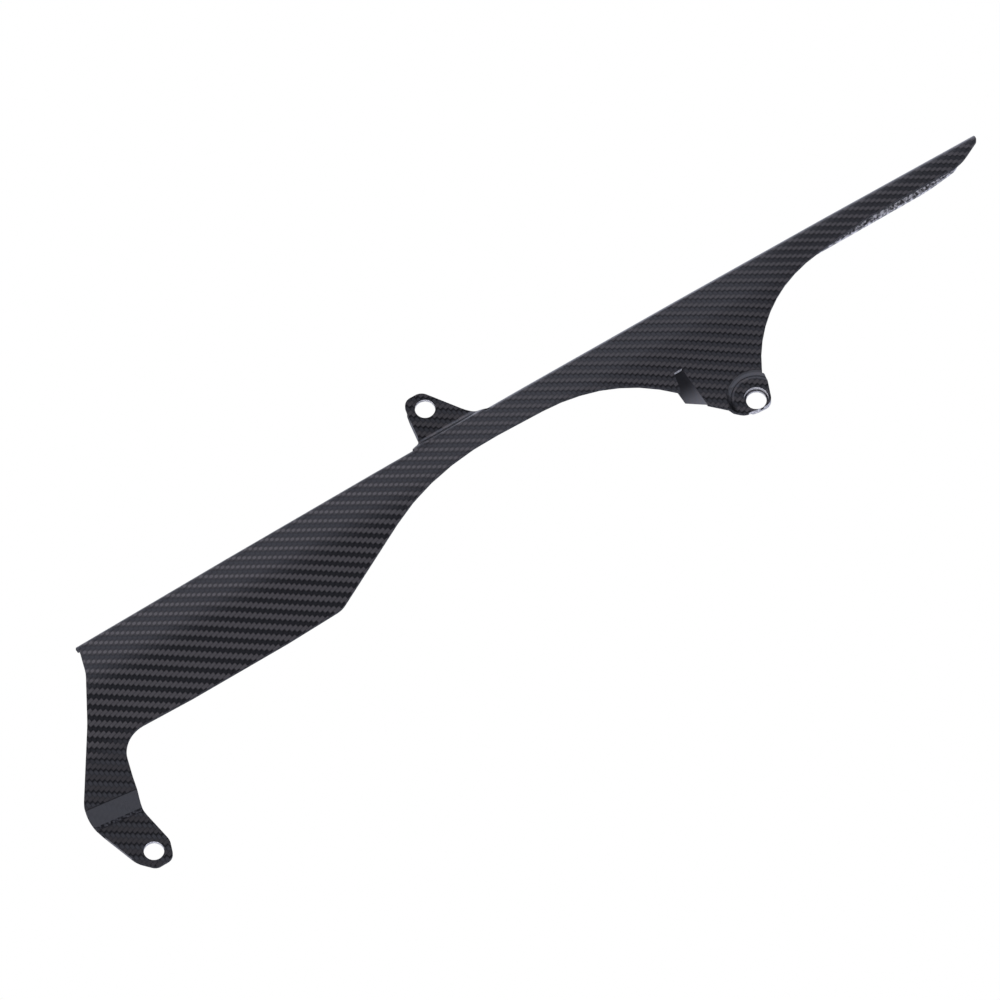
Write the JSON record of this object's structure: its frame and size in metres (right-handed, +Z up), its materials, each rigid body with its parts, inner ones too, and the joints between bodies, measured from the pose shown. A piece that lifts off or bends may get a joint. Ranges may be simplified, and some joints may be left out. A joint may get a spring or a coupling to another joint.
{
  "type": "motorcycle chain guard",
  "caption": "Long one-piece woven carbon chain guard: hooded top edge, deep front panel with a hooked arm, raised tab, rear ear and slim blade.",
  "frame": {"origin": "centre of the front fixing hole, half way through the laminate", "axes": "+X along the guard from the front arm to the tip of the blade, +Z up away from the chain, -Y out of the visible outer face"},
  "size_m": [0.5644, 0.0261, 0.1504],
  "materials": {
    "carbon_laminate": null
  },
  "bodies": {
    "root": {"chain_guard": "carbon_laminate"}
  },
  "joints": []
}
